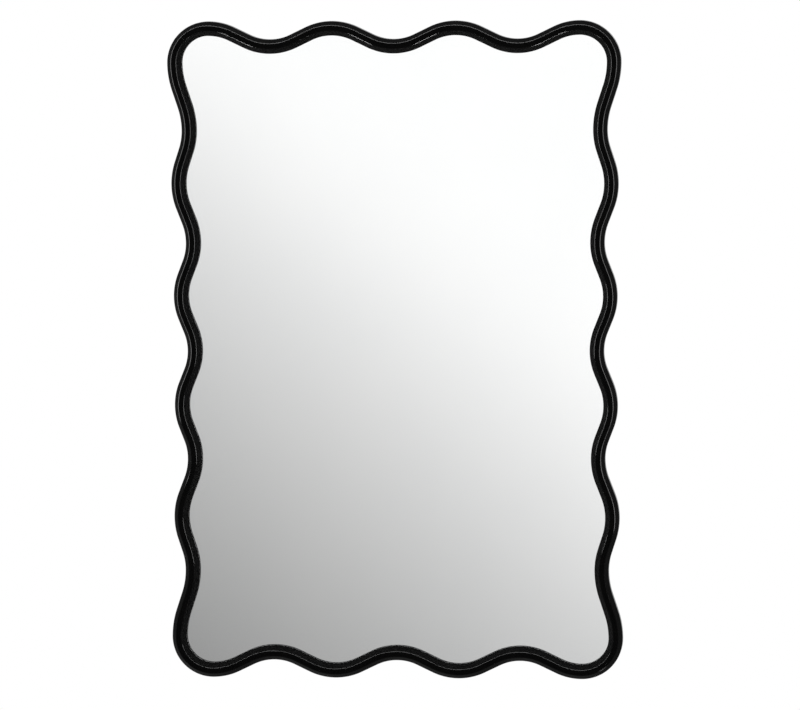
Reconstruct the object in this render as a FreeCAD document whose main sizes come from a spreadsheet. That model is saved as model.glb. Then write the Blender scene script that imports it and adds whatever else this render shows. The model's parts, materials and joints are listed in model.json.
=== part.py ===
"""Wall mirror with a wavy lacquered frame, modelled in millimetres.

The mirror faces -Y and +Z is up. The origin lies in the wall's plane, behind the middle of the mirror.
Depths are measured from the back of the frame towards the front.
"""
import FreeCAD
import Part
import Sketcher
import math
import os
import re

V = FreeCAD.Vector
LEFT, RIGHT = -1, 1
ALONG_X, INTO_WALL, UP = V(1, 0, 0), V(0, 1, 0), V(0, 0, 1)
TO_FRONT = FreeCAD.Rotation(ALONG_X, 90)
TO_WALL = FreeCAD.Rotation(ALONG_X, -90)

SIZES = {
    # Outline of the frame, and the radius of a corner lobe along the middle of the moulding
    "frame_width": 629,
    "frame_height": 914,
    "corner_radius": 47,
    "rail_wave": 25,
    "stile_wave": 25,
    # Section of the moulding
    "rail_width": 20,
    "rail_depth": 22,
    "outer_wall": 13.5,
    "front_inset": 5.9,
    "front_band": 7.1,
    "shoulder_radius": 1.8,
    "nose_height": 2,
    "rim_width": 4,
    "land_width": 8.5,
    # Sheets that lie in the rebate
    "glass_thickness": 4,
    "silver_thickness": 0.1,
    "foam_thickness": 1,
    "board_thickness": 3,
    "glass_gap": 0.8,
    "foam_gap": 2,
    "board_gap": 0.4,
    # Room between the frame and the wall
    "wall_gap": 6,
    # Dowels of the mitre joints, placed from the outer edge and the back
    "dowel_diameter": 6,
    "dowel_length": 25,
    "dowel_chamfer": 0.6,
    "dowel_fit": 0.1,
    "dowel_end_gap": 0.8,
    "low_dowel_inset": 6.5,
    "low_dowel_depth": 8.5,
    "high_dowel_inset": 11.5,
    "high_dowel_depth": 15.5,
    # Countersunk screws of the backing board
    "screw_diameter": 3,
    "screw_length": 12,
    "screw_tip": 2.5,
    "screw_head": 5.6,
    "screw_head_height": 1.4,
    "screw_fit": 0.1,
    "recess_length": 2.8,
    "recess_width": 0.7,
    "recess_depth": 0.9,
    # Pan head screws of the hangers
    "pan_head": 6,
    "pan_height": 1.8,
    "pan_edge": 0.9,
    "pan_screw_length": 16,
    # Hanger straps, whose upper screw clears the hanging ring by the gap
    "strap_thickness": 1.2,
    "strap_width": 10,
    "strap_corner": 3.5,
    "strap_fold_angle": 25,
    "strap_hole_pitch": 12,
    "strap_end_margin": 6,
    "ring_screw_gap": 4.25,
    # D-rings
    "ring_wire": 2.5,
    "ring_inner_width": 14,
    "ring_inner_height": 11,
    "ring_corner": 2.75,
    "ring_fit": 0.1,
    "ring_rest_gap": 0.3,
    # Rubber bumpers, placed on the diagonal of the lower corner lobes
    "bumper_diameter": 14,
    "bumper_edge": 1.5,
    "bumper_reach": 34,
}

# Crests and troughs of half a side, from its middle to the corner lobe. The first is a trough and the last
# the lobe's crest. Places are shares of the way to the lobe's centre, depths are shares of the wave's depth.
RAIL_PLACE_SHARES = (0, 1 / 3, 2 / 3, 1)
RAIL_DEPTH_SHARES = (1, 0, 1, 0)
STILE_PLACE_SHARES = (0, 0.19, 0.375, 0.58, 0.765, 1)
STILE_DEPTH_SHARES = (1, 0.25, 0.95, 0.17, 0.77, 0)
# The arcs of a wave have this share of the radius that would leave no straight flank between them
ARC_SHARE = 0.93

# Formulas that several pieces use
LEDGE = "(board_thickness + foam_thickness + silver_thickness + glass_thickness)"
SCREW_RADIUS = "screw_diameter / 2"
BAR_HEIGHT = "(strap_thickness + ring_fit + ring_wire / 2)"
BOW_RADIUS = "(ring_inner_width + ring_wire) / 2"
RING_LEG = f"(ring_inner_height + ring_wire - {BOW_RADIUS})"
RING_REACH = "(ring_inner_height + ring_wire * 3 / 2)"
UPPER_HOLE = f"({RING_REACH} + ring_screw_gap + pan_head / 2)"
LOWER_HOLE = f"({UPPER_HOLE} + strap_hole_pitch)"
STRAP_LENGTH = f"({LOWER_HOLE} + strap_end_margin)"

doc = FreeCAD.newDocument("wavy_mirror")
sheet = doc.addObject("Spreadsheet::Sheet", "sizes")
for row, (name, number) in enumerate(SIZES.items(), start=1):
    sheet.set(f"A{row}", name)
    sheet.set(f"B{row}", str(number))
    sheet.setAlias(f"B{row}", name)
doc.recompute()


def value(text):
    """The number that a formula of sizes gives."""
    result = sheet.evalExpression(text)
    return float(getattr(result, "Value", result))


def bind(thing, prop, text):
    """Binds a property to a formula of the sheet's sizes."""
    named = re.sub(r"[a-z_]+", lambda word: f"sizes.{word[0]}" if word[0] in SIZES else word[0], text)
    thing.setExpression(prop, named)


def pin(sketch, geo, pos, across, up):
    """Holds a point of a sketch at two formulas, measured from the sketch's origin."""
    for kind, text in (("DistanceX", across), ("DistanceY", up)):
        index = sketch.addConstraint(Sketcher.Constraint(kind, -1, 1, geo, pos, value(text)))
        bind(sketch, f"Constraints[{index}]", text)


def bind_radius(sketch, geo, text):
    index = sketch.addConstraint(Sketcher.Constraint("Radius", geo, value(text)))
    bind(sketch, f"Constraints[{index}]", text)


def arc_between(start, end, radius, turn):
    """The arc of less than half a circle from start to end that turns left (1) or right (-1)."""
    chord = end - start
    to_left = V(-chord.y, chord.x, 0).normalize()
    rise = math.sqrt(radius ** 2 - (chord.Length / 2) ** 2)
    centre = (start + end) * 0.5 + to_left * turn * rise
    first, last = (start, end) if turn > 0 else (end, start)
    angles = [math.atan2(point.y - centre.y, point.x - centre.x) for point in (first, last)]
    return Part.ArcOfCircle(Part.Circle(centre, V(0, 0, 1), radius), *angles)


def draw(sketch, corners):
    """A closed outline through corners that are pairs of formulas.

    Where a corner also gives a radius and a turn, an arc leads on from it instead of a line.
    """
    points = [V(value(corner[0]), value(corner[1]), 0) for corner in corners]
    ends = []
    for i, corner in enumerate(corners):
        start, end = points[i], points[(i + 1) % len(points)]
        if len(corner) == 2:
            sketch.addGeometry(Part.LineSegment(start, end))
            ends.append((1, 2))
        else:
            radius, turn = corner[2:]
            sketch.addGeometry(arc_between(start, end, value(radius), turn))
            ends.append((1, 2) if turn > 0 else (2, 1))
    for i, corner in enumerate(corners):
        after = (i + 1) % len(corners)
        sketch.addConstraint(Sketcher.Constraint("Coincident", i, ends[i][1], after, ends[after][0]))
        pin(sketch, i, ends[i][0], corner[0], corner[1])
        if len(corner) > 2:
            bind_radius(sketch, i, corner[2])


def draw_circles(sketch, centres, radius):
    for across, up in centres:
        geo = sketch.addGeometry(Part.Circle(V(value(across), value(up), 0), V(0, 0, 1), value(radius)))
        pin(sketch, geo, 3, across, up)
        bind_radius(sketch, geo, radius)


def body_sketch(body, name, role):
    """A sketch on one of its own body's origin planes."""
    sketch = body.newObject("Sketcher::SketchObject", name)
    plane = [feature for feature in body.Origin.OriginFeatures if feature.Role == role][0]
    sketch.AttachmentSupport = [(plane, "")]
    sketch.MapMode = "FlatFace"
    return sketch


def turned(name, corners):
    """A body turned about its own Z axis from half its section."""
    body = doc.addObject("PartDesign::Body", name)
    sketch = body_sketch(body, f"{name}_section", "XZ_Plane")
    draw(sketch, corners)
    doc.recompute()
    revolution = body.newObject("PartDesign::Revolution", f"{name}_turned")
    revolution.Profile = sketch
    revolution.ReferenceAxis = (sketch, ["V_Axis"])
    revolution.Angle = 360
    doc.recompute()
    return body


def copies(name, master, places):
    """One object that holds a copy of a solid at each place."""
    group = doc.addObject("Part::Feature", name)
    group.Shape = Part.makeCompound([master.Shape.transformed(place.toMatrix(), True) for place in places])
    return group


def cut(name, base, tool):
    result = doc.addObject("Part::Cut", name)
    result.Base = base
    result.Tool = tool
    doc.recompute()
    return result


# Waves of the frame


class Side:
    """One side of the frame: where its crests and troughs lie, along it and outwards from the middle."""

    def __init__(self, along, out, length, height, wave, place_shares, depth_shares):
        self.along, self.out = along, out
        self.reach = value(f"{length} / 2 - rail_width / 2 - corner_radius")
        self.height = value(f"{height} / 2 - rail_width / 2")
        self.radius = value("corner_radius")
        half = [(share * self.reach, self.height - depth * value(wave))
                for share, depth in zip(place_shares, depth_shares)]
        self.extremes = [(-place, level) for place, level in reversed(half[1:])] + half
        self.middle = len(half) - 1

    def point(self, place, level):
        return self.along * place + self.out * level - INTO_WALL * value("wall_gap")

    def lobe(self, end, angle):
        """The point of a corner lobe at an angle from the top of the lobe, at the start or the end."""
        turn = math.radians(angle)
        place = end * (self.reach + self.radius * math.sin(turn))
        return self.point(place, self.height - self.radius * (1 - math.cos(turn)))

    def half_wave(self, start, end):
        """Arc, straight flank and arc between a crest and a trough."""
        a, b = self.point(*start), self.point(*end)
        run = end[0] - start[0]
        rise = abs(end[1] - start[1])
        outwards = self.out if end[1] > start[1] else -self.out
        radius = ARC_SHARE * (run ** 2 + rise ** 2) / (4 * rise)
        flank = math.sqrt(run ** 2 + (2 * radius - rise) ** 2 - (2 * radius) ** 2)
        turn = math.atan2(run, 2 * radius - rise) - math.atan2(flank, 2 * radius)

        def step(angle):
            return self.along * radius * math.sin(angle) + outwards * radius * (1 - math.cos(angle))

        return [
            Part.Arc(a, a + step(turn / 2), a + step(turn)).toShape(),
            Part.LineSegment(a + step(turn), b - step(turn)).toShape(),
            Part.Arc(b - step(turn), b - step(turn / 2), b).toShape(),
        ]

    def edges(self):
        """The middle line of the moulding, from mitre to mitre."""
        mitre_angle = 45
        first = Part.Arc(self.lobe(LEFT, mitre_angle), self.lobe(LEFT, mitre_angle / 2), self.lobe(LEFT, 0))
        last = Part.Arc(self.lobe(RIGHT, 0), self.lobe(RIGHT, mitre_angle / 2), self.lobe(RIGHT, mitre_angle))
        waves = [edge for pair in zip(self.extremes, self.extremes[1:]) for edge in self.half_wave(*pair)]
        return [first.toShape(), *waves, last.toShape()]

    def troughs(self):
        """The point on the rebate's land of every trough, from one end of the side to the other."""
        to_land = value("rail_width / 2 - rim_width - land_width / 2")
        first = self.middle % 2
        return [self.point(place, level + to_land) for place, level in self.extremes[first::2]]


def rail_side(along, out):
    shares = RAIL_PLACE_SHARES, RAIL_DEPTH_SHARES
    return Side(along, out, "frame_width", "frame_height", "rail_wave", *shares)


def stile_side(along, out):
    shares = STILE_PLACE_SHARES, STILE_DEPTH_SHARES
    return Side(along, out, "frame_height", "frame_width", "stile_wave", *shares)


top, right = rail_side(ALONG_X, UP), stile_side(-UP, ALONG_X)
bottom, left = rail_side(-ALONG_X, -UP), stile_side(UP, -ALONG_X)


# Mitre joints


def mitre_frame(across, up):
    """Middle of the moulding at a mitre, and the direction that points out of the frame there."""
    outwards = (ALONG_X * across + UP * up).normalize()
    lobe_centre = ALONG_X * across * top.reach + UP * up * right.reach
    return lobe_centre + outwards * value("corner_radius") - INTO_WALL * value("wall_gap"), outwards


def dowel_places(across, up, length):
    """Places of the two dowels of a mitre joint, which a piece of this length straddles evenly."""
    middle, outwards = mitre_frame(across, up)
    along = outwards.cross(INTO_WALL)
    places = []
    for row in ("low", "high"):
        inset, depth = value(f"{row}_dowel_inset"), value(f"{row}_dowel_depth")
        centre = middle + outwards * (value("rail_width / 2") - inset) - INTO_WALL * depth
        start = centre - along * value(f"{length} / 2")
        places.append(FreeCAD.Placement(start, FreeCAD.Rotation(UP, along)))
    return places


def make_dowel():
    body = doc.addObject("PartDesign::Body", "dowel")
    sketch = body_sketch(body, "dowel_section", "XY_Plane")
    draw_circles(sketch, [("0", "0")], "dowel_diameter / 2")
    doc.recompute()
    pad = body.newObject("PartDesign::Pad", "dowel_pad")
    pad.Profile = sketch
    bind(pad, "Length", "dowel_length")
    doc.recompute()
    chamfer = body.newObject("PartDesign::Chamfer", "dowel_ends")
    rims = [f"Edge{i}" for i, edge in enumerate(pad.Shape.Edges, start=1) if edge.isClosed()]
    chamfer.Base = (pad, rims)
    bind(chamfer, "Size", "dowel_chamfer")
    doc.recompute()
    return body


dowel = make_dowel()
dowel_hole = doc.addObject("Part::Cylinder", "dowel_hole")
DOWEL_HOLE_LENGTH = "(dowel_length + 2 * dowel_end_gap)"
bind(dowel_hole, "Radius", "dowel_diameter / 2 + dowel_fit")
bind(dowel_hole, "Height", DOWEL_HOLE_LENGTH)
doc.recompute()

CORNERS = {
    "top_left": (LEFT, 1),
    "top_right": (RIGHT, 1),
    "bottom_left": (LEFT, -1),
    "bottom_right": (RIGHT, -1),
}
dowel_pairs = [copies(f"{corner}_dowels", dowel, dowel_places(*signs, "dowel_length"))
               for corner, signs in CORNERS.items()]


# Screws


def countersunk(fit):
    """Half the section of a countersunk screw, or of its hole where a fit is added all round."""
    head, shank = f"screw_head / 2 + {fit}", f"{SCREW_RADIUS} + {fit}"
    return [
        ("0", "0"),
        (head, "0"),
        (shank, "screw_head_height"),
        (shank, "screw_length - screw_tip"),
        ("0", f"screw_length + {fit}"),
    ]


def cross_recess(body, name):
    """Cuts the driver's cross into the head of a screw."""
    long, wide = "recess_length / 2", "recess_width / 2"
    solid_before = body.Shape.Volume
    sketch = body_sketch(body, f"{name}_recess", "XY_Plane")
    draw(sketch, [
        (long, f"-{wide}"), (long, wide), (wide, wide), (wide, long),
        (f"-{wide}", long), (f"-{wide}", wide), (f"-{long}", wide), (f"-{long}", f"-{wide}"),
        (f"-{wide}", f"-{wide}"), (f"-{wide}", f"-{long}"), (wide, f"-{long}"), (wide, f"-{wide}"),
    ])
    doc.recompute()
    pocket = body.newObject("PartDesign::Pocket", f"{name}_cross")
    pocket.Profile = sketch
    pocket.Reversed = True
    bind(pocket, "Length", "recess_depth")
    doc.recompute()
    if body.Shape.Volume >= solid_before:
        raise RuntimeError(f"the recess of {name} cuts nothing")
    return body


board_screw = cross_recess(turned("board_screw", countersunk("0")), "board_screw")
board_screw_hole = turned("board_screw_hole", countersunk("screw_fit"))
pan_screw = cross_recess(turned("pan_screw", [
    ("0", "0"),
    ("pan_head / 2 - pan_edge", "0", "pan_edge", 1),
    ("pan_head / 2", "pan_edge"),
    ("pan_head / 2", "pan_height"),
    (SCREW_RADIUS, "pan_height"),
    (SCREW_RADIUS, "pan_height + pan_screw_length - screw_tip"),
    ("0", "pan_height + pan_screw_length"),
]), "pan_screw")
pan_screw_hole = doc.addObject("Part::Cylinder", "pan_screw_hole")
bind(pan_screw_hole, "Radius", f"{SCREW_RADIUS} + screw_fit")
bind(pan_screw_hole, "Height", "pan_height + pan_screw_length + screw_fit")
doc.recompute()


def hanger_trough(stile):
    """The first trough above the middle of a stile."""
    return min((point for point in stile.troughs() if point.z > 0), key=lambda point: point.z)


def hanger_places(stile):
    """Where a hanger's bar lies on the back, and its two screws, one on each side of the trough."""
    bar = hanger_trough(stile) + UP * value(f"({LOWER_HOLE} + {UPPER_HOLE}) / 2")
    head = INTO_WALL * value("2 * strap_thickness + pan_height")
    heads = [bar - UP * value(hole) + head for hole in (UPPER_HOLE, LOWER_HOLE)]
    return bar, [FreeCAD.Placement(point, TO_FRONT) for point in heads]


def board_screw_places(side):
    """Places of the board's screws along one side: every trough that holds no hanger."""
    taken = [hanger_trough(side)] if side in (left, right) else []
    return [FreeCAD.Placement(point, TO_FRONT) for point in side.troughs() if point not in taken]


all_board_screws = [place for side in (top, right, bottom, left) for place in board_screw_places(side)]
backing_screws = copies("backing_screws", board_screw, all_board_screws)


# Frame


def moulding_section(name, side):
    """Section of the moulding at a side's first mitre: across from the outer edge, up from the back."""
    sketch = doc.addObject("Sketcher::SketchObject", f"{name}_section")
    rise, fall = "(rail_depth - outer_wall)", f"(rail_depth - {LEDGE} - nose_height)"
    inner_slope = "(rail_width - front_inset - front_band)"
    outer_angle, inner_angle = f"atan2({rise}; front_inset)", f"atan2({fall}; {inner_slope})"
    outer_trim = f"shoulder_radius * tan({outer_angle} / 2)"
    inner_trim = f"shoulder_radius * tan({inner_angle} / 2)"
    inner_shoulder = "front_inset + front_band"
    draw(sketch, [
        ("0", "0"),
        ("rim_width", "0"),
        ("rim_width", "board_thickness"),
        ("rim_width + land_width", "board_thickness"),
        ("rim_width + land_width", LEDGE),
        ("rail_width", LEDGE),
        ("rail_width", f"{LEDGE} + nose_height"),
        (f"{inner_shoulder} + {inner_trim} * cos({inner_angle})",
         f"rail_depth - {inner_trim} * sin({inner_angle})", "shoulder_radius", 1),
        (f"{inner_shoulder} - {inner_trim}", "rail_depth"),
        (f"front_inset + {outer_trim}", "rail_depth", "shoulder_radius", 1),
        (f"front_inset - {outer_trim} * cos({outer_angle})",
         f"rail_depth - {outer_trim} * sin({outer_angle})"),
        ("0", "outer_wall"),
    ])
    middle, outwards = mitre_frame(*((LEFT, 1) if side is top else (RIGHT, 1)))
    corner = middle + outwards * value("rail_width / 2")
    sketch.Placement = FreeCAD.Placement(corner, FreeCAD.Rotation(-outwards, -INTO_WALL, V(), "XYZ"))
    return sketch


def make_side(name, side, corners, screw_holes):
    """Sweeps the moulding along a side and drills it for its dowels and screws."""
    path = doc.addObject("Part::Feature", f"{name}_path")
    path.Shape = Part.Wire(side.edges())
    blank = doc.addObject("Part::Sweep", f"{name}_blank")
    blank.Sections = [moulding_section(name, side)]
    blank.Spine = (path, [f"Edge{i + 1}" for i in range(len(path.Shape.Edges))])
    blank.Solid = True
    blank.Frenet = False
    doc.recompute()
    drilled = [place for corner in corners for place in dowel_places(*CORNERS[corner], DOWEL_HOLE_LENGTH)]
    shapes = [copies(f"{name}_dowel_holes", dowel_hole, drilled), *screw_holes]
    holes = doc.addObject("Part::Compound", f"{name}_holes")
    holes.Links = shapes
    doc.recompute()
    return cut(name, blank, holes)


def mirrored(name, source, normal):
    copy = doc.addObject("Part::Mirroring", name)
    copy.Source = source
    copy.Normal = normal
    return copy


left_bar, left_screw_places = hanger_places(left)
right_bar, right_screw_places = hanger_places(right)
top_screw_holes = copies("top_screw_holes", board_screw_hole, board_screw_places(top))
right_screw_holes = copies("right_screw_holes", board_screw_hole, board_screw_places(right))
right_pan_holes = copies("right_pan_holes", pan_screw_hole, right_screw_places)
frame_top_rail = make_side("frame_top_rail", top, ("top_left", "top_right"), [top_screw_holes])
frame_right_stile = make_side("frame_right_stile", right, ("top_right", "bottom_right"),
                              [right_screw_holes, right_pan_holes])
frame_bottom_rail = mirrored("frame_bottom_rail", frame_top_rail, UP)
frame_left_stile = mirrored("frame_left_stile", frame_right_stile, ALONG_X)


# Sheets in the rebate


middle_line = Part.Wire([edge for side in (top, right, bottom, left) for edge in side.edges()])


def wavy_sheet(name, inset, depth, thickness):
    """A sheet cut to the frame's wave, given its inset from the frame's edge and the depth of its back."""
    outline = doc.addObject("Part::Feature", f"{name}_outline")
    outline.Shape = middle_line.makeOffset2D(value(f"rail_width / 2 - ({inset})"))
    sheet_piece = doc.addObject("Part::Extrusion", name)
    sheet_piece.Base = outline
    sheet_piece.DirMode = "Custom"
    sheet_piece.Dir = -INTO_WALL
    sheet_piece.Solid = True
    bind(sheet_piece, "LengthFwd", thickness)
    bind(sheet_piece, "Placement.Base.y", f"-({depth})")
    doc.recompute()
    return sheet_piece


mirror_glass = wavy_sheet("mirror_glass", "rim_width + land_width + glass_gap",
                          "board_thickness + foam_thickness + silver_thickness", "glass_thickness")
mirror_silvering = wavy_sheet("mirror_silvering", "rim_width + land_width + glass_gap",
                              "board_thickness + foam_thickness", "silver_thickness")
foam_sheet = wavy_sheet("foam_sheet", "rim_width + land_width + foam_gap",
                        "board_thickness", "foam_thickness")
board_blank = wavy_sheet("board_blank", "rim_width + board_gap", "0", "board_thickness")
board_holes = doc.addObject("Part::Compound", "board_holes")
board_holes.Links = [
    copies("board_screw_holes", board_screw_hole, all_board_screws),
    copies("board_pan_holes", pan_screw_hole, left_screw_places + right_screw_places),
]
doc.recompute()
backing_board = cut("backing_board", board_blank, board_holes)


# Hangers


def make_strap(name, bar):
    """A strip folded round the ring's bar and drawn from the side, with its origin on the board."""
    body = doc.addObject("PartDesign::Body", name)
    loop, hole = BAR_HEIGHT, f"({BAR_HEIGHT} - strap_thickness)"
    cosine, sine = "cos(strap_fold_angle)", "sin(strap_fold_angle)"

    def leaves(radius):
        return f"{BAR_HEIGHT} + {radius} * {cosine}", f"-{radius} * {sine}"

    def lands(radius, layers):
        across, up = leaves(radius)
        height = f"{layers} * strap_thickness"
        return height, f"{up} - ({across} - {height}) * {cosine} / {sine}"

    side_view = body_sketch(body, f"{name}_side", "YZ_Plane")
    draw(side_view, [
        ("0", f"-{STRAP_LENGTH}"),
        ("2 * strap_thickness", f"-{STRAP_LENGTH}"),
        lands(loop, 2),
        (*leaves(loop), loop, 1),
        (BAR_HEIGHT, loop, loop, 1),
        ("0", "0"),
    ])
    doc.recompute()
    strip = body.newObject("PartDesign::Pad", f"{name}_strip")
    strip.Profile = side_view
    strip.SideType = "Symmetric"
    bind(strip, "Length", "strap_width")
    doc.recompute()
    eye_view = body_sketch(body, f"{name}_eye_side", "YZ_Plane")
    draw(eye_view, [
        lands(hole, 1),
        (*leaves(hole), hole, 1),
        (BAR_HEIGHT, hole, hole, 1),
        ("strap_thickness", "0"),
    ])
    doc.recompute()
    eye = body.newObject("PartDesign::Pocket", f"{name}_eye")
    eye.Profile = eye_view
    eye.Type = "ThroughAll"
    eye.SideType = "Symmetric"
    doc.recompute()
    holes_view = body_sketch(body, f"{name}_holes_view", "XZ_Plane")
    centres = [("0", f"-{UPPER_HOLE}"), ("0", f"-{LOWER_HOLE}")]
    draw_circles(holes_view, centres, f"{SCREW_RADIUS} + screw_fit")
    doc.recompute()
    holes = body.newObject("PartDesign::Pocket", f"{name}_holes")
    holes.Profile = holes_view
    holes.Type = "ThroughAll"
    holes.SideType = "Symmetric"
    doc.recompute()
    foot = -value(STRAP_LENGTH)
    corners = [f"Edge{i}" for i, edge in enumerate(holes.Shape.Edges, start=1)
               if edge.BoundBox.ZMax - foot < edge.Length and edge.BoundBox.XLength < edge.BoundBox.YLength]
    rounding = body.newObject("PartDesign::Fillet", f"{name}_corners")
    rounding.Base = (holes, corners)
    bind(rounding, "Radius", "strap_corner")
    body.Placement = FreeCAD.Placement(bar, FreeCAD.Rotation())
    doc.recompute()
    return body


def make_ring(name, bar):
    """A bent wire in the shape of a D; its origin is the middle of the bar, and the bow hangs down."""
    body = doc.addObject("PartDesign::Body", name)
    path = body_sketch(body, f"{name}_path", "XZ_Plane")
    straight = f"({BOW_RADIUS} - ring_corner)"
    draw(path, [
        ("0", "0"),
        (f"-{straight}", "0", "ring_corner", 1),
        (f"-{BOW_RADIUS}", "-ring_corner"),
        (f"-{BOW_RADIUS}", f"-{RING_LEG}", BOW_RADIUS, 1),
        ("0", f"-{RING_LEG} - {BOW_RADIUS}", BOW_RADIUS, 1),
        (BOW_RADIUS, f"-{RING_LEG}"),
        (BOW_RADIUS, "-ring_corner", "ring_corner", 1),
        (straight, "0"),
    ])
    section = body_sketch(body, f"{name}_section", "YZ_Plane")
    draw_circles(section, [("0", "0")], "ring_wire / 2")
    doc.recompute()
    wire = body.newObject("PartDesign::AdditivePipe", f"{name}_wire")
    wire.Profile = section
    wire.Spine = (path, [f"Edge{i + 1}" for i in range(len(path.Shape.Edges))])
    strap_crossing = f"({RING_LEG} + sqrt(({BOW_RADIUS}) ^ 2 - (strap_width / 2) ^ 2))"
    lean = value(f"asin((strap_thickness + ring_rest_gap - ring_fit) / {strap_crossing})")
    axis = bar + INTO_WALL * value(BAR_HEIGHT)
    body.Placement = FreeCAD.Placement(axis, FreeCAD.Rotation(ALONG_X, lean))
    doc.recompute()
    return body


hangers = []
for name, bar, screw_places in (
    ("left", left_bar, left_screw_places),
    ("right", right_bar, right_screw_places),
):
    hangers.append(make_strap(f"{name}_hanger_strap", bar))
    hangers.append(make_ring(f"{name}_d_ring", bar))
    hangers.append(copies(f"{name}_hanger_screws", pan_screw, screw_places))


# Bumpers


def make_bumper(name, across):
    """A rubber button between the board and the wall, at a lower corner."""
    body = turned(name, [
        ("0", "0"),
        ("bumper_diameter / 2", "0"),
        ("bumper_diameter / 2", "wall_gap - bumper_edge", "bumper_edge", 1),
        ("bumper_diameter / 2 - bumper_edge", "wall_gap"),
        ("0", "wall_gap"),
    ])
    middle, outwards = mitre_frame(across, -1)
    place = middle - outwards * value("corner_radius - bumper_reach")
    body.Placement = FreeCAD.Placement(place, TO_WALL)
    return body


bumpers = [make_bumper("left_bumper", LEFT), make_bumper("right_bumper", RIGHT)]
doc.recompute()


# Checks and files


nodes = [
    frame_top_rail, frame_bottom_rail, frame_left_stile, frame_right_stile, *dowel_pairs,
    mirror_glass, mirror_silvering, foam_sheet, backing_board, backing_screws, *hangers, *bumpers,
]
for thing in doc.Objects:
    if {"Invalid", "Error"} & set(thing.State):
        raise RuntimeError(f"{thing.Label} failed: {thing.State}")
for node in nodes:
    if node.Shape.isNull() or not node.Shape.isValid():
        raise RuntimeError(f"{node.Label} has no valid shape")
os.makedirs("parts", exist_ok=True)
for node in nodes:
    node.Shape.exportStep(f"parts/{node.Label}.step")
    print(f"{node.Label}: {len(node.Shape.Solids)} solids, {node.Shape.Volume:.1f} mm3")
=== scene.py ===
"""Looks for a wall mirror with a wavy black frame.

Lengths are in metres in the part's own frame: the mirror faces -Y, +Z is up and the wall's plane
is at y = 0.
"""
import json
import math

import bmesh
import bpy
from mathutils import Matrix, Quaternion, Vector


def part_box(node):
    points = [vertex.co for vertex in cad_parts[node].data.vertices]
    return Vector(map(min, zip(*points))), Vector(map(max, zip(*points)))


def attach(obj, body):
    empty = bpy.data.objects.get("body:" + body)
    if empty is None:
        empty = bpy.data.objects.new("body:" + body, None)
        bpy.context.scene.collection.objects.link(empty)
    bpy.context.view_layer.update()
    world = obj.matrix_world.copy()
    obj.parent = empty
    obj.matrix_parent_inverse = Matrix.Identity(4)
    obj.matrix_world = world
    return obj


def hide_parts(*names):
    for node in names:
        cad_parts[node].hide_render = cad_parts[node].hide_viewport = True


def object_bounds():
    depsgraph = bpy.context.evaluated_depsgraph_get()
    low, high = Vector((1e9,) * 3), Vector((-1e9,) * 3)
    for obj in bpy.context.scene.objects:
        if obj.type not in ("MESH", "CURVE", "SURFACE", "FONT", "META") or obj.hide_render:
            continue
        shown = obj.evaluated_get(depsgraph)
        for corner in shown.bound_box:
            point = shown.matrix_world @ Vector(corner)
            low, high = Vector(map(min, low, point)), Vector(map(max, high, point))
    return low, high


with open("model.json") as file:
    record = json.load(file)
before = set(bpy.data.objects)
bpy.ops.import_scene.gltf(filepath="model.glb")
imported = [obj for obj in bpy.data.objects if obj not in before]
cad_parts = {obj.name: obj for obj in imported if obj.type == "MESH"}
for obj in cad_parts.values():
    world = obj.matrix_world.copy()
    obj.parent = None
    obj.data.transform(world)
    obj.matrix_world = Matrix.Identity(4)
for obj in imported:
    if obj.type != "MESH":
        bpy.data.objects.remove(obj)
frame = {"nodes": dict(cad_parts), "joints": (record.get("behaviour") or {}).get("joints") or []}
cad_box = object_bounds()

ACROSS, INTO_WALL, UP = Vector((1, 0, 0)), Vector((0, 1, 0)), Vector((0, 0, 1))
LEFT, RIGHT = -1, 1
QUARTER_TURN = math.radians(90)


# Sizes

# The moulding's section, across from its outer edge and up from its back
RAIL_WIDTH = 0.020
RAIL_DEPTH = 0.022
OUTER_WALL = 0.0135
FRONT_INSET = 0.0059
FRONT_BAND = 0.0071
NOSE_HEIGHT = 0.002
RIM_WIDTH = 0.004
LAND_WIDTH = 0.0085
FRAME_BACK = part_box("frame_top_rail")[1].y
LAND_HEIGHT = FRAME_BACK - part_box("backing_board")[0].y
LEDGE_HEIGHT = FRAME_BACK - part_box("mirror_glass")[0].y

# Roundings of the moulding's edges
SHOULDER_RADIUS = 0.0018
SHOULDER_SEGMENTS = 10
BACK_ROUNDING = 0.0005
REBATE_ROUNDING = 0.0002
NOSE_ROUNDING = 0.0006
WALL_ROUNDING = 0.0008
EDGE_SEGMENTS = 4
MITRE_GROOVE = 0.00008

# The glass, with a ground edge, clear of the rebate all round and bedded in the silvering
GLASS_GAP = 0.0008
GLASS_SEAM = 0.0004
GLASS_MERGE = GLASS_SEAM / 10
GLASS_INSET = RIM_WIDTH + LAND_WIDTH + GLASS_GAP
GLASS_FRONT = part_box("mirror_glass")[0].y
GLASS_BACK = sum(corner.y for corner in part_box("mirror_silvering")) / 2

# The frame's outline along the middle of the moulding
HALF_WIDTH = cad_box[1].x - RAIL_WIDTH / 2
HALF_HEIGHT = cad_box[1].z - RAIL_WIDTH / 2
CORNER_RADIUS = 0.047
WAVE_DEPTH = 0.025
MITRE_ANGLE = math.radians(45)
ARC_STEP = math.radians(2)

# Crests and troughs from the middle of a side to its corner, as shares of the way and of the
# wave's depth
RAIL_PLACE_SHARES = (0, 1 / 3, 2 / 3, 1)
RAIL_DEPTH_SHARES = (1, 0, 1, 0)
STILE_PLACE_SHARES = (0, 0.19, 0.375, 0.58, 0.765, 1)
STILE_DEPTH_SHARES = (1, 0.25, 0.95, 0.17, 0.77, 0)
# The arcs of a wave have this share of the radius that would leave no straight flank between them
ARC_SHARE = 0.93

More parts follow.
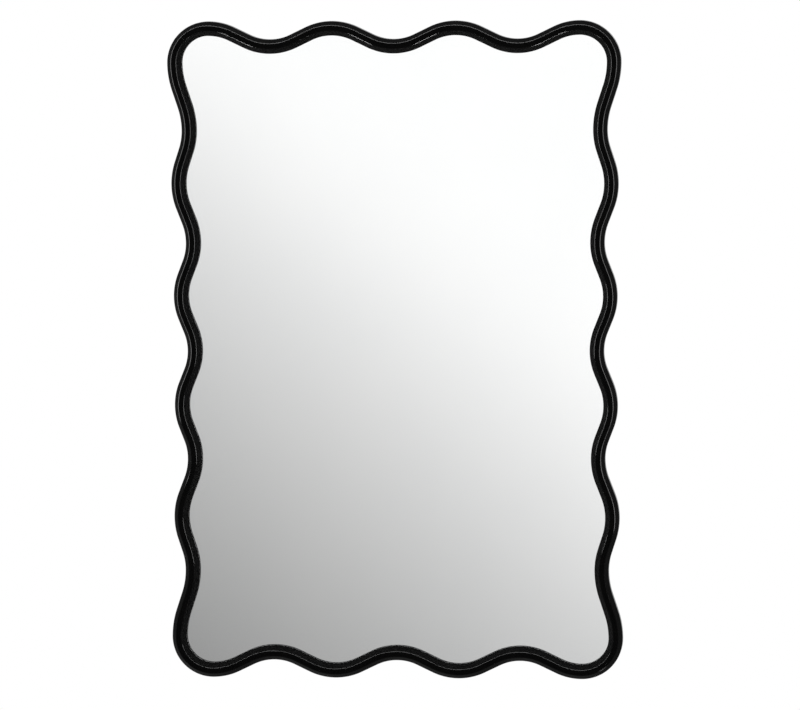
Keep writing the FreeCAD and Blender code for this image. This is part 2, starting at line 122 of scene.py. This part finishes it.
# The hanging rings, whose bow rests just clear of the strap
RING_WIRE = 0.0025
RING_MERGE = RING_WIRE / 1000
RING_BOW_RADIUS = 0.00825
RING_LEG = 0.00525
RING_CORNER = 0.00275
RING_SEGMENTS = 28
RING_ARC_STEP = math.radians(5)
RING_LEAN = math.radians(6.807)

# The rubber bumpers, rounded towards the wall
BUMPER_RADIUS = 0.007
BUMPER_EDGE = 0.0015
BUMPER_SIDES = 64
BUMPER_EDGE_SEGMENTS = 8

# Faces that meet at more than the sharp angle show a crease
SHARP_ANGLE = math.radians(40)
ROUND_PROFILE = 0.5
QUAD_CORNERS = 4


# Shapes


def mesh_object(name, bm, material):
    """An object in the scene of a finished mesh and its material."""
    mesh = bpy.data.meshes.new(name)
    bm.to_mesh(mesh)
    bm.free()
    mesh.materials.append(material)
    made = bpy.data.objects.new(name, mesh)
    bpy.context.scene.collection.objects.link(made)
    return made


def place_piece(name, bm, body, material, replaced):
    """Makes a piece of a finished mesh, with its finish, in place of a node."""
    piece = mesh_object(name, bm, material)
    piece.data.shade_smooth()
    piece.data.set_sharp_from_angle(angle=SHARP_ANGLE)
    piece.modifiers.new("even_shading", "WEIGHTED_NORMAL").keep_sharp = True
    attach(piece, body)
    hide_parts(replaced)
    return piece


def soften(bm, geom, offset, segments, affect="EDGES", clamp_overlap=False):
    """Rounds corners or edges. A single segment cuts them flat."""
    bmesh.ops.bevel(
        bm, geom=geom, offset=offset, offset_type="OFFSET", affect=affect, segments=segments,
        profile=ROUND_PROFILE, material=-1, clamp_overlap=clamp_overlap,
    )


def end_rims(bm):
    """The edges of the end faces, which alone have more corners than a quad."""
    ends = [face for face in bm.faces if len(face.verts) > QUAD_CORNERS]
    return list({edge for face in ends for edge in face.edges})


def follow(bm, section, moves, arc_step):
    """Draws a section along a course of bends and straight runs in the plane of the mirror."""
    for centre, angle, run in moves:
        steps = max(1, math.ceil(abs(angle) / arc_step))
        turned = bmesh.ops.spin(
            bm, geom=section, cent=centre, axis=INTO_WALL, dvec=run, angle=angle, steps=steps,
            use_merge=False, use_normal_flip=False, use_duplicate=False,
        )
        section = turned["geom_last"]


def bend(centre, angle):
    return centre, angle, Vector()


def straight(run):
    return Vector(), 0, run


class Side:
    """One side of the frame, followed clockwise as the front shows it."""

    def __init__(self, along, out, half_length, height, place_shares, depth_shares):
        self.along, self.out = along, out
        self.reach = half_length - CORNER_RADIUS
        self.height = height
        half = [(share * self.reach, height - depth * WAVE_DEPTH)
                for share, depth in zip(place_shares, depth_shares)]
        self.extremes = [(-place, level) for place, level in reversed(half[1:])] + half

    def point(self, place, level):
        return self.along * place + self.out * level + INTO_WALL * FRAME_BACK

    def lobe_centre(self, end):
        return self.point(end * self.reach, self.height - CORNER_RADIUS)

    def half_wave(self, start, end):
        """Bend, straight flank and bend between a crest and a trough."""
        a, b = self.point(*start), self.point(*end)
        run, rise = end[0] - start[0], abs(end[1] - start[1])
        rising = end[1] > start[1]
        outwards = self.out if rising else -self.out
        radius = ARC_SHARE * (run ** 2 + rise ** 2) / (4 * rise)
        flank = math.sqrt(run ** 2 + (2 * radius - rise) ** 2 - (2 * radius) ** 2)
        turn = math.atan2(run, 2 * radius - rise) - math.atan2(flank, 2 * radius)
        step = self.along * radius * math.sin(turn) + outwards * radius * (1 - math.cos(turn))
        first_turn = -turn if rising else turn
        return [
            bend(a + outwards * radius, first_turn),
            straight(b - a - 2 * step),
            bend(b - outwards * radius, -first_turn),
        ]

    def course(self):
        """The way from one mitre to the other."""
        pairs = zip(self.extremes, self.extremes[1:])
        waves = [move for pair in pairs for move in self.half_wave(*pair)]
        first = bend(self.lobe_centre(LEFT), MITRE_ANGLE)
        last = bend(self.lobe_centre(RIGHT), MITRE_ANGLE)
        return [first, *waves, last]

    def mitre_place(self):
        """Where the section lies at the first mitre, its outer back corner at the origin."""
        outwards = (self.out - self.along).normalized()
        corner = self.lobe_centre(LEFT) + outwards * (CORNER_RADIUS + RAIL_WIDTH / 2)
        across, up = -outwards, -INTO_WALL
        turn = Matrix((across, up, across.cross(up))).transposed().to_4x4()
        return Matrix.Translation(corner) @ turn


def shoulder_trim(run, rise):
    """How far a shoulder's rounding reaches along its two faces."""
    return SHOULDER_RADIUS * math.tan(math.atan2(rise, run) / 2)


def moulding_section(bm, place):
    """The section of the moulding as one face with rounded corners."""
    nose = LEDGE_HEIGHT + NOSE_HEIGHT
    inner_shoulder = FRONT_INSET + FRONT_BAND
    outer_trim = shoulder_trim(FRONT_INSET, RAIL_DEPTH - OUTER_WALL)
    inner_trim = shoulder_trim(RAIL_WIDTH - inner_shoulder, RAIL_DEPTH - nose)
    corners = (
        (0, 0, BACK_ROUNDING, EDGE_SEGMENTS),
        (RIM_WIDTH, 0, REBATE_ROUNDING, EDGE_SEGMENTS),
        (RIM_WIDTH, LAND_HEIGHT, REBATE_ROUNDING, EDGE_SEGMENTS),
        (RIM_WIDTH + LAND_WIDTH, LAND_HEIGHT, REBATE_ROUNDING, EDGE_SEGMENTS),
        (RIM_WIDTH + LAND_WIDTH, LEDGE_HEIGHT, REBATE_ROUNDING, EDGE_SEGMENTS),
        (RAIL_WIDTH, LEDGE_HEIGHT, REBATE_ROUNDING, EDGE_SEGMENTS),
        (RAIL_WIDTH, nose, NOSE_ROUNDING, EDGE_SEGMENTS),
        (inner_shoulder, RAIL_DEPTH, inner_trim, SHOULDER_SEGMENTS),
        (FRONT_INSET, RAIL_DEPTH, outer_trim, SHOULDER_SEGMENTS),
        (0, OUTER_WALL, WALL_ROUNDING, EDGE_SEGMENTS),
    )
    verts = [bm.verts.new((across, up, 0)) for across, up, rounding, segments in corners]
    bm.faces.new(verts)
    for vert, (across, up, rounding, segments) in zip(verts, corners):
        soften(bm, [vert], rounding, segments, affect="VERTICES")
    bmesh.ops.transform(bm, matrix=place, verts=bm.verts)
    return [*bm.verts, *bm.edges, *bm.faces]


def lacquered_side(name, side, material, replaced):
    """A rail or stile of the frame, with a hairline groove at both mitres."""
    bm = bmesh.new()
    section = moulding_section(bm, side.mitre_place())
    follow(bm, section, side.course(), ARC_STEP)
    bmesh.ops.recalc_face_normals(bm, faces=bm.faces)
    soften(bm, end_rims(bm), MITRE_GROOVE, 1, clamp_overlap=True)
    return place_piece(name, bm, "mirror", material, replaced)


def glass_pane(name, sides, material, replaced):
    """The glass, cut to the wave of the frame's sides."""
    bm = bmesh.new()
    start = sides[0].mitre_place() @ Vector((GLASS_INSET, 0, 0))
    start.y = GLASS_BACK
    outline = [move for side in sides for move in side.course()]
    follow(bm, [bm.verts.new(start)], outline, ARC_STEP)
    bmesh.ops.remove_doubles(bm, verts=bm.verts, dist=GLASS_MERGE)
    back = bmesh.ops.contextual_create(bm, geom=bm.edges)["faces"]
    front = bmesh.ops.extrude_face_region(bm, geom=back)["geom"]
    front_verts = [part for part in front if isinstance(part, bmesh.types.BMVert)]
    bmesh.ops.translate(bm, vec=INTO_WALL * (GLASS_FRONT - GLASS_BACK), verts=front_verts)
    bmesh.ops.recalc_face_normals(bm, faces=bm.faces)
    soften(bm, end_rims(bm), GLASS_SEAM, 1)
    return place_piece(name, bm, "mirror", material, replaced)


def wire_ring(name, body, joint, material, replaced):
    """A hanging ring of bent wire, hung from its bar and leaning towards the wall."""
    bm = bmesh.new()
    bar = Vector(joint["pos_m"])
    bmesh.ops.create_circle(
        bm, segments=RING_SEGMENTS, radius=RING_WIRE / 2,
        matrix=Matrix.Translation(bar) @ Matrix.Rotation(QUARTER_TURN, 4, "Y"),
    )
    half_bar = RING_BOW_RADIUS - RING_CORNER
    leg = RING_LEG - RING_CORNER
    right_corner = bar + ACROSS * half_bar - UP * RING_CORNER
    left_corner = bar - ACROSS * half_bar - UP * RING_CORNER
    bow = bar - UP * RING_LEG
    moves = [
        straight(ACROSS * half_bar),
        bend(right_corner, QUARTER_TURN),
        straight(-UP * leg),
        bend(bow, 2 * QUARTER_TURN),
        straight(UP * leg),
        bend(left_corner, QUARTER_TURN),
        straight(ACROSS * half_bar),
    ]
    follow(bm, [*bm.verts, *bm.edges], moves, RING_ARC_STEP)
    bmesh.ops.remove_doubles(bm, verts=bm.verts, dist=RING_MERGE)
    bmesh.ops.recalc_face_normals(bm, faces=bm.faces)
    lean = Matrix.Rotation(RING_LEAN, 3, "X")
    bmesh.ops.rotate(bm, cent=bar, matrix=lean, verts=bm.verts)
    return place_piece(name, bm, body, material, replaced)


def rubber_bumper(name, material, replaced):
    """A round bumper from the board to the wall, with a rounded rim."""
    low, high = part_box(replaced)
    middle = (low + high) / 2
    facing_wall = UP.rotation_difference(INTO_WALL).to_matrix().to_4x4()
    bm = bmesh.new()
    bmesh.ops.create_cone(
        bm, cap_ends=True, segments=BUMPER_SIDES, radius1=BUMPER_RADIUS, radius2=BUMPER_RADIUS,
        depth=high.y - low.y, matrix=Matrix.Translation(middle) @ facing_wall,
    )
    rim = [edge for edge in bm.edges if all(vert.co.y > middle.y for vert in edge.verts)]
    soften(bm, rim, BUMPER_EDGE, BUMPER_EDGE_SEGMENTS)
    return place_piece(name, bm, "mirror", material, replaced)


# Finishes

# A mottle's levels lie mostly between these two
MOTTLE_LOW, MOTTLE_HIGH = 0.3, 0.7


class NodeSheet:
    """The nodes of a material or of the surround, and the ways to join them."""

    def __init__(self, owner):
        owner.use_nodes = True
        self.nodes, self.links = owner.node_tree.nodes, owner.node_tree.links

    def feed(self, socket, part):
        """Joins a socket to another one, or gives it a plain value."""
        if isinstance(part, bpy.types.NodeSocket):
            self.links.new(part, socket)
        else:
            socket.default_value = part

    def feed_all(self, node, **parts):
        """Feeds the inputs of a node by name, with _ for a space."""
        for name, part in parts.items():
            self.feed(node.inputs[name.replace("_", " ")], part)

    def output(self, kind, name):
        return self.nodes.new(kind).outputs[name]

    def number(self, operation, *parts):
        """The outcome of an operation on numbers."""
        return self.calculate("ShaderNodeMath", operation, "Value", parts)

    def vector(self, operation, outcome, *parts):
        """The outcome of an operation on vectors."""
        return self.calculate("ShaderNodeVectorMath", operation, outcome, parts)

    def calculate(self, kind, operation, outcome, parts):
        node = self.nodes.new(kind)
        node.operation = operation
        for socket, part in zip(node.inputs, parts):
            self.feed(socket, part)
        return node.outputs[outcome]

    def remap(self, level, start, end, low=0, high=1, interpolation="SMOOTHSTEP"):
        """A number that goes from low to high as a level goes from start to end."""
        node = self.nodes.new("ShaderNodeMapRange")
        node.interpolation_type = interpolation
        self.feed_all(node, Value=level, From_Min=start, From_Max=end, To_Min=low, To_Max=high)
        return node.outputs["Result"]


class Finish(NodeSheet):
    """A material whose patterns lie on the piece's own coordinates."""

    def __init__(self, name, **settings):
        self.material = bpy.data.materials.new(name)
        super().__init__(self.material)
        self.shader = self.nodes["Principled BSDF"]
        self.place = self.output("ShaderNodeTexCoord", "Object")
        self.feed_all(self.shader, **settings)

    def mottle(self, per_metre, detail=4, stretch=(1, 1, 1)):
        """Soft random patches, so many to the metre."""
        mapping = self.nodes.new("ShaderNodeMapping")
        self.feed_all(mapping, Vector=self.place, Scale=stretch)
        noise = self.nodes.new("ShaderNodeTexNoise")
        self.feed_all(noise, Vector=mapping.outputs["Vector"], Scale=per_metre, Detail=detail)
        return noise.outputs["Fac"]

    def colour(self, pattern, dark, light):
        """The base colour, from dark to light as a pattern has it."""
        ramp = self.nodes.new("ShaderNodeValToRGB")
        stops = ramp.color_ramp.elements
        stops[0].position, stops[1].position = MOTTLE_LOW, MOTTLE_HIGH
        stops[0].color, stops[1].color = (*dark, 1), (*light, 1)
        self.feed_all(ramp, Fac=pattern)
        self.feed_all(self.shader, Base_Color=ramp.outputs["Color"])

    def roughness(self, pattern, low, high):
        level = self.remap(pattern, MOTTLE_LOW, MOTTLE_HIGH, low, high, interpolation="LINEAR")
        self.feed_all(self.shader, Roughness=level)

    def relief(self, pattern, depth, strength):
        """Raises the surface by a pattern."""
        bump = self.nodes.new("ShaderNodeBump")
        self.feed_all(bump, Distance=depth, Strength=strength, Height=pattern)
        self.feed_all(self.shader, Normal=bump.outputs["Normal"])


def black_lacquer():
    finish = Finish("black_lacquer", Specular_IOR_Level=0.5)
    cloud = finish.mottle(per_metre=40)
    finish.colour(cloud, dark=(0.0009, 0.0009, 0.0010), light=(0.0016, 0.0015, 0.0014))
    finish.roughness(finish.mottle(per_metre=120), low=0.11, high=0.17)
    finish.relief(finish.mottle(per_metre=700, detail=2), depth=0.000003, strength=0.5)
    return finish.material


def clear_glass():
    finish = Finish("clear_glass", Transmission_Weight=1.0, IOR=1.52)
    haze = finish.mottle(per_metre=6)
    finish.colour(haze, dark=(0.989, 0.993, 0.991), light=(0.995, 0.998, 0.996))
    finish.roughness(haze, low=0.0, high=0.004)
    return finish.material


def silvering():
    finish = Finish("silvering", Metallic=1.0)
    cloud = finish.mottle(per_metre=3)
    finish.colour(cloud, dark=(0.945, 0.95, 0.95), light=(0.96, 0.962, 0.96))
    finish.roughness(cloud, low=0.0, high=0.008)
    return finish.material


def white_foam():
    finish = Finish("white_foam", Specular_IOR_Level=0.3)
    cells = finish.mottle(per_metre=900, detail=2)
    finish.colour(cells, dark=(0.68, 0.68, 0.66), light=(0.82, 0.82, 0.8))
    finish.roughness(cells, low=0.75, high=0.9)
    finish.relief(cells, depth=0.0002, strength=0.6)
    return finish.material


def fibreboard():
    finish = Finish("fibreboard", Specular_IOR_Level=0.25)
    fibres = finish.mottle(per_metre=260, detail=10, stretch=(1, 1, 0.6))
    finish.colour(fibres, dark=(0.2, 0.118, 0.06), light=(0.35, 0.23, 0.132))
    finish.roughness(finish.mottle(per_metre=90), low=0.65, high=0.85)
    finish.relief(fibres, depth=0.00005, strength=0.5)
    return finish.material


def bare_beech():
    finish = Finish("bare_beech", Specular_IOR_Level=0.3)
    grain = finish.mottle(per_metre=500, stretch=(1, 1, 0.15))
    finish.colour(grain, dark=(0.42, 0.27, 0.15), light=(0.6, 0.43, 0.28))
    finish.roughness(grain, low=0.55, high=0.7)
    finish.relief(grain, depth=0.0001, strength=0.5)
    return finish.material


def zinc_plate():
    finish = Finish("zinc_plate", Metallic=1.0)
    cloud = finish.mottle(per_metre=300)
    finish.colour(cloud, dark=(0.5, 0.52, 0.55), light=(0.66, 0.67, 0.68))
    brushed = finish.mottle(per_metre=2500, detail=2, stretch=(1, 1, 0.08))
    finish.roughness(brushed, low=0.28, high=0.45)
    finish.relief(brushed, depth=0.00002, strength=0.5)
    return finish.material


def nickel_plate():
    finish = Finish("nickel_plate", Metallic=1.0)
    cloud = finish.mottle(per_metre=400)
    finish.colour(cloud, dark=(0.6, 0.57, 0.52), light=(0.72, 0.69, 0.64))
    finish.roughness(finish.mottle(per_metre=900), low=0.14, high=0.26)
    finish.relief(finish.mottle(per_metre=1500, detail=2), depth=0.00001, strength=0.4)
    return finish.material


def matt_rubber():
    finish = Finish("matt_rubber", Specular_IOR_Level=0.3)
    grain = finish.mottle(per_metre=1800, detail=3)
    finish.colour(grain, dark=(0.012, 0.012, 0.012), light=(0.024, 0.023, 0.022))
    finish.roughness(grain, low=0.7, high=0.9)
    finish.relief(grain, depth=0.00005, strength=0.6)
    return finish.material


# Object

top = Side(ACROSS, UP, HALF_WIDTH, HALF_HEIGHT, RAIL_PLACE_SHARES, RAIL_DEPTH_SHARES)
right = Side(-UP, ACROSS, HALF_HEIGHT, HALF_WIDTH, STILE_PLACE_SHARES, STILE_DEPTH_SHARES)
bottom = Side(-ACROSS, -UP, HALF_WIDTH, HALF_HEIGHT, RAIL_PLACE_SHARES, RAIL_DEPTH_SHARES)
left = Side(UP, -ACROSS, HALF_HEIGHT, HALF_WIDTH, STILE_PLACE_SHARES, STILE_DEPTH_SHARES)

lacquer = black_lacquer()
lacquered_frame = [
    lacquered_side("lacquered_top_rail", top, lacquer, "frame_top_rail"),
    lacquered_side("lacquered_right_stile", right, lacquer, "frame_right_stile"),
    lacquered_side("lacquered_bottom_rail", bottom, lacquer, "frame_bottom_rail"),
    lacquered_side("lacquered_left_stile", left, lacquer, "frame_left_stile"),
]

glass = clear_glass()
glass_pane("seamed_glass", (top, right, bottom, left), glass, "mirror_glass")

nickel = nickel_plate()
joints = {joint["child"]: joint for joint in frame["joints"]}
wire_ring("left_wire_ring", "left_ring", joints["left_ring"], nickel, "left_d_ring")
wire_ring("right_wire_ring", "right_ring", joints["right_ring"], nickel, "right_d_ring")

rubber = matt_rubber()
rubber_bumper("left_rubber_bumper", rubber, "left_bumper")
rubber_bumper("right_rubber_bumper", rubber, "right_bumper")

beech, zinc = bare_beech(), zinc_plate()
NODE_FINISHES = {
    "frame_top_rail": lacquer,
    "frame_bottom_rail": lacquer,
    "frame_left_stile": lacquer,
    "frame_right_stile": lacquer,
    "top_left_dowels": beech,
    "top_right_dowels": beech,
    "bottom_left_dowels": beech,
    "bottom_right_dowels": beech,
    "mirror_glass": glass,
    "mirror_silvering": silvering(),
    "foam_sheet": white_foam(),
    "backing_board": fibreboard(),
    "backing_screws": zinc,
    "left_hanger_strap": zinc,
    "right_hanger_strap": zinc,
    "left_d_ring": nickel,
    "right_d_ring": nickel,
    "left_hanger_screws": zinc,
    "right_hanger_screws": zinc,
    "left_bumper": rubber,
    "right_bumper": rubber,
}
for node, material in NODE_FINISHES.items():
    for material_slot in frame["nodes"][node].material_slots:
        material_slot.material = material


# Studio

CAMERA_DISTANCE = 8.0
CAMERA_LENS = 259.15
CAMERA_TURN = math.radians(5)
CAMERA_RISE = math.radians(5)
CAMERA_ROLL = math.radians(-0.35)
CAMERA_AIM = Vector((0.005, 0, -0.0071))

# The strips start just in front of the wall and end at this angle from straight ahead, which the
# top strip has from the top rail and a side strip from the stile across
STRIP_GAP = 0.05
STRIP_ANGLE = math.radians(72)
TOP_STRIP_HEIGHT = 1.95
TOP_STRIP_LENGTH = 6.0
TOP_STRIP_RADIANCE = 9
SIDE_STRIP_PLACE = 0.45
SIDE_STRIP_RADIANCE = 10
SIDE_STRIP_SPREAD = math.radians(90)
LEFT_STRIP_END = -0.15
RIGHT_STRIP_END = -0.3

# The low lamps shine up at the inner slopes of the top rail. The camera stands to the right, so
# the two don't lie alike.
LEFT_LAMP_PLACE = Vector((-0.91, -0.27, -0.97))
RIGHT_LAMP_PLACE = Vector((0.63, -0.27, -0.97))
LOW_LAMP_AIM = Vector((0.13, -0.028, 0.43))
LOW_LAMP_WIDTH = 0.45
LOW_LAMP_HEIGHT = 0.24
LOW_LAMP_RADIANCE = 30
LOW_LAMP_SPREAD = math.radians(30)

BACK_LIGHT_PLACE = Vector((1.4, 2.2, 1.2))
BACK_LIGHT_SIZE = 1.4
BACK_LIGHT_RADIANCE = 1.6

# Levels of the surround, and how far behind the frame a direction points where they change
SOFT_LIGHT = 0.9
FRONT_ROOM = 0.03
SIDE_ROOM = 0.085
PALE_ROOM = 0.6
FRONT_TO_SIDE = (-0.95, -0.6)
SIDE_TO_PALE = (0.45, 0.8)
SHADED_WALL = 0.74
WALL_SHADE = 0.24
WALL_WAVES = Vector((9.6, 0, 12.8))
# A ray past this depth has met the frame's gloss before the silvering
ONE_GLOSS = 1.5

# The card's level rises across and up as the mirror shows it, and ends softly at grey and white
CARD_DISTANCE = 10.0
CARD_SIZE = 6.0
CARD_RISE = Vector((0.383, 0, 0.482))
CARD_MIDDLE = 0.902
CARD_WHITE = 1.0
CARD_GREY = 0.5
CARD_SOFTNESS = 0.1
CARD_GAMMA = 2.2
CARD_STRENGTH = 1.1

FLOOR_HEIGHT = -0.75
FLOOR_RADIUS = 1.6
FLOOR_FADE = 0.7
FLOOR_SIDES = 96


def photo_camera():
    camera = bpy.data.objects.new("camera", bpy.data.cameras.new("camera"))
    camera.data.lens = CAMERA_LENS
    back = Vector((
        math.sin(CAMERA_TURN) * math.cos(CAMERA_RISE),
        -math.cos(CAMERA_TURN) * math.cos(CAMERA_RISE),
        math.sin(CAMERA_RISE),
    ))
    camera.location = CAMERA_AIM + back * CAMERA_DISTANCE
    level = (-back).to_track_quat("-Z", "Y")
    camera.rotation_euler = (level @ Quaternion(UP, CAMERA_ROLL)).to_euler()
    bpy.context.scene.collection.objects.link(camera)
    bpy.context.scene.camera = camera
    return camera


def soft_light(name, place, aim, width, height, radiance, spread=math.pi):
    """A flat lamp that faces a point, straight ahead as bright as a surface of that radiance."""
    lamp = bpy.data.lights.new(name, "AREA")
    lamp.shape = "RECTANGLE"
    lamp.size, lamp.size_y = width, height
    beam = spread / 2
    lamp.spread = spread
    lamp.energy = radiance * math.pi * width * height * (1 - beam / math.tan(beam))
    light = bpy.data.objects.new(name, lamp)
    light.location = place
    light.rotation_euler = (aim - place).to_track_quat("-Z", "Y").to_euler()
    light.visible_camera = False
    light.visible_transmission = False
    bpy.context.scene.collection.objects.link(light)
    return light


def on_side(place, side):
    """A place on the right, or the same on the left."""
    return Vector((place.x * side, place.y, place.z))


def studio_lights(frame_sides):
    """Strips and low lamps, which the frame's gloss alone shows, and two lamps behind it."""
    top_width = (TOP_STRIP_HEIGHT - HALF_HEIGHT) / math.tan(STRIP_ANGLE) - STRIP_GAP
    side_width = (SIDE_STRIP_PLACE + HALF_WIDTH) / math.tan(STRIP_ANGLE) - STRIP_GAP
    aim = -INTO_WALL * (STRIP_GAP + top_width / 2)
    place = aim + UP * TOP_STRIP_HEIGHT
    strips = [
        soft_light("top_strip", place, aim, TOP_STRIP_LENGTH, top_width, TOP_STRIP_RADIANCE),
    ]
    for name, side, end, low_place in (
        ("left", LEFT, LEFT_STRIP_END, LEFT_LAMP_PLACE),
        ("right", RIGHT, RIGHT_STRIP_END, RIGHT_LAMP_PLACE),
    ):
        aim = UP * (TOP_STRIP_HEIGHT + end) / 2 - INTO_WALL * (STRIP_GAP + side_width / 2)
        place = aim + ACROSS * side * SIDE_STRIP_PLACE
        strips.append(soft_light(
            f"{name}_strip", place, aim, side_width, TOP_STRIP_HEIGHT - end,
            SIDE_STRIP_RADIANCE, SIDE_STRIP_SPREAD,
        ))
        strips.append(soft_light(
            f"{name}_low_lamp", low_place, on_side(LOW_LAMP_AIM, side), LOW_LAMP_WIDTH,
            LOW_LAMP_HEIGHT, LOW_LAMP_RADIANCE, LOW_LAMP_SPREAD,
        ))
        soft_light(
            f"{name}_back_light", on_side(BACK_LIGHT_PLACE, side), Vector(), BACK_LIGHT_SIZE,
            BACK_LIGHT_SIZE, BACK_LIGHT_RADIANCE,
        )
    shown_by = bpy.data.collections.new("lacquered_frame")
    for frame_side in frame_sides:
        shown_by.objects.link(frame_side)
    for strip in strips:
        strip.visible_diffuse = False
        strip.light_linking.receiver_collection = shown_by


def studio_surround():
    """White to the camera, with a soft light all round.

    The frame's gloss shows a room that is darkest in front and pale behind, and the glass shows a
    pale wall with soft shades. What the gloss shows by way of the glass is dark.
    """
    world = bpy.data.worlds.new("studio_surround")
    sheet = NodeSheet(world)
    looking = sheet.output("ShaderNodeTexCoord", "Generated")
    direction = sheet.nodes.new("ShaderNodeSeparateXYZ")
    sheet.feed_all(direction, Vector=looking)
    behind = direction.outputs["Y"]
    ray = sheet.nodes.new("ShaderNodeLightPath").outputs

    def where(kind, level, otherwise):
        """One level for a kind of ray, and another for the rest."""
        node = sheet.nodes.new("ShaderNodeMix")
        sheet.feed_all(node, Factor=kind, A=otherwise, B=level)
        return node.outputs["Result"]

    shade = sheet.number("SINE", sheet.vector("DOT_PRODUCT", "Value", looking, WALL_WAVES))
    wall = sheet.number("MULTIPLY_ADD", shade, WALL_SHADE, SHADED_WALL)
    twice = sheet.number("GREATER_THAN", ray["Glossy Depth"], ONE_GLOSS)

    dark_room = sheet.remap(behind, *FRONT_TO_SIDE, FRONT_ROOM, SIDE_ROOM)
    room = where(sheet.remap(behind, *SIDE_TO_PALE), PALE_ROOM, dark_room)
    level = where(ray["Is Glossy Ray"], room, SOFT_LIGHT)
    level = where(ray["Is Transmission Ray"], where(twice, SIDE_ROOM, wall), level)
    level = where(ray["Is Camera Ray"], 1, level)
    sheet.feed_all(sheet.nodes["Background"], Color=(1, 1, 1, 1), Strength=level)
    bpy.context.scene.world = world


def stage_piece(name, bm, material):
    piece = mesh_object(name, bm, material)
    return piece


def card_gradient(middle, shrink):
    """The card's light, which the mirror shows smaller by a factor."""
    material = bpy.data.materials.new("card_gradient")
    sheet = NodeSheet(material)
    sheet.nodes.remove(sheet.nodes["Principled BSDF"])
    from_middle = sheet.nodes.new("ShaderNodeMapping")
    place = sheet.output("ShaderNodeTexCoord", "Object")
    sheet.feed_all(from_middle, Vector=place, Location=-middle)
    offset = from_middle.outputs["Vector"]
    level = sheet.number(
        "ADD", sheet.vector("DOT_PRODUCT", "Value", offset, CARD_RISE / shrink), CARD_MIDDLE)
    level = sheet.number("SMOOTH_MIN", level, CARD_WHITE, CARD_SOFTNESS)
    level = sheet.number("SMOOTH_MAX", level, CARD_GREY, CARD_SOFTNESS)
    level = sheet.number("POWER", level, CARD_GAMMA)
    emission = sheet.nodes.new("ShaderNodeEmission")
    sheet.feed_all(emission, Color=level, Strength=CARD_STRENGTH)
    sheet.feed_all(sheet.nodes["Material Output"], Surface=emission.outputs["Emission"])
    return material


def reflected_card(camera):
    """The card that the mirror shows to the camera, from grey low on the left to white."""
    mirror_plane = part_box("mirror_silvering")[0].y
    spread = (CARD_DISTANCE + mirror_plane) / (mirror_plane - camera.location.y)
    middle = Vector((-camera.location.x * spread, -CARD_DISTANCE, -camera.location.z * spread))
    bm = bmesh.new()
    bmesh.ops.create_grid(
        bm, x_segments=1, y_segments=1, size=CARD_SIZE / 2,
        matrix=Matrix.Translation(middle) @ Matrix.Rotation(QUARTER_TURN, 4, "X"),
    )
    card = stage_piece("reflected_card", bm, card_gradient(middle, 1 + spread))
    card.visible_camera = False
    card.visible_diffuse = False
    card.visible_glossy = False
    card.visible_shadow = False


def pale_floor():
    """A round floor that fades to the white around it, to the camera only."""
    bm = bmesh.new()
    bmesh.ops.create_circle(
        bm, cap_ends=True, segments=FLOOR_SIDES, radius=FLOOR_RADIUS,
        matrix=Matrix.Translation(UP * FLOOR_HEIGHT),
    )
    finish = Finish("pale_floor", Specular_IOR_Level=0.2)
    finish.colour(finish.mottle(per_metre=8), dark=(0.74, 0.74, 0.73), light=(0.78, 0.78, 0.77))
    finish.roughness(finish.mottle(per_metre=20), low=0.7, high=0.85)
    on_floor = finish.vector("MULTIPLY", "Vector", finish.place, ACROSS + INTO_WALL)
    way_out = finish.vector("LENGTH", "Value", on_floor)
    fade = finish.remap(way_out, FLOOR_FADE, FLOOR_RADIUS)
    seen = finish.number("MULTIPLY", fade, finish.output("ShaderNodeLightPath", "Is Camera Ray"))
    white = finish.output("ShaderNodeEmission", "Emission")
    mix = finish.nodes.new("ShaderNodeMixShader")
    for socket, part in zip(mix.inputs, (seen, finish.shader.outputs["BSDF"], white)):
        finish.feed(socket, part)
    finish.feed_all(finish.nodes["Material Output"], Surface=mix.outputs["Shader"])
    floor = stage_piece("floor", bm, finish.material)
    floor.visible_glossy = False
    floor.visible_transmission = False


camera = photo_camera()
studio_lights(lacquered_frame)
studio_surround()
reflected_card(camera)
pale_floor()
bpy.context.scene.view_settings.view_transform = "Standard"
